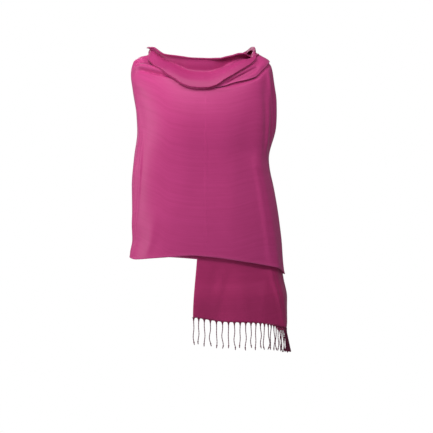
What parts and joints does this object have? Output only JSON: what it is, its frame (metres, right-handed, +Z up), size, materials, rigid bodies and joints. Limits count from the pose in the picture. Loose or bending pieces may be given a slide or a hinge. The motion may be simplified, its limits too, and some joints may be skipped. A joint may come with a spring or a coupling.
{
  "type": "pashmina shawl",
  "caption": "Fringed shawl kept in the hollow form of a shoulder wrap, with a folded cowl and one end hanging in front.",
  "frame": {"origin": "midway between the shoulders, on the line where the wearer's shoulders carry the cloth", "axes": "+Z up, the front looks along -Y, +X to the wearer's left, where the fringed end hangs"},
  "size_m": [0.4985, 0.2575, 0.9268],
  "materials": {
    "cloth": "matte",
    "fringe": "matte"
  },
  "bodies": {
    "root": {"front_panel": "cloth", "wrapped_end": "cloth", "hanging_end": "cloth", "back_panel": "cloth", "cowl": "cloth", "shoulder_fold": "cloth", "neck_fold": "cloth", "front_fringe": "fringe", "back_fringe": "fringe"}
  },
  "joints": []
}
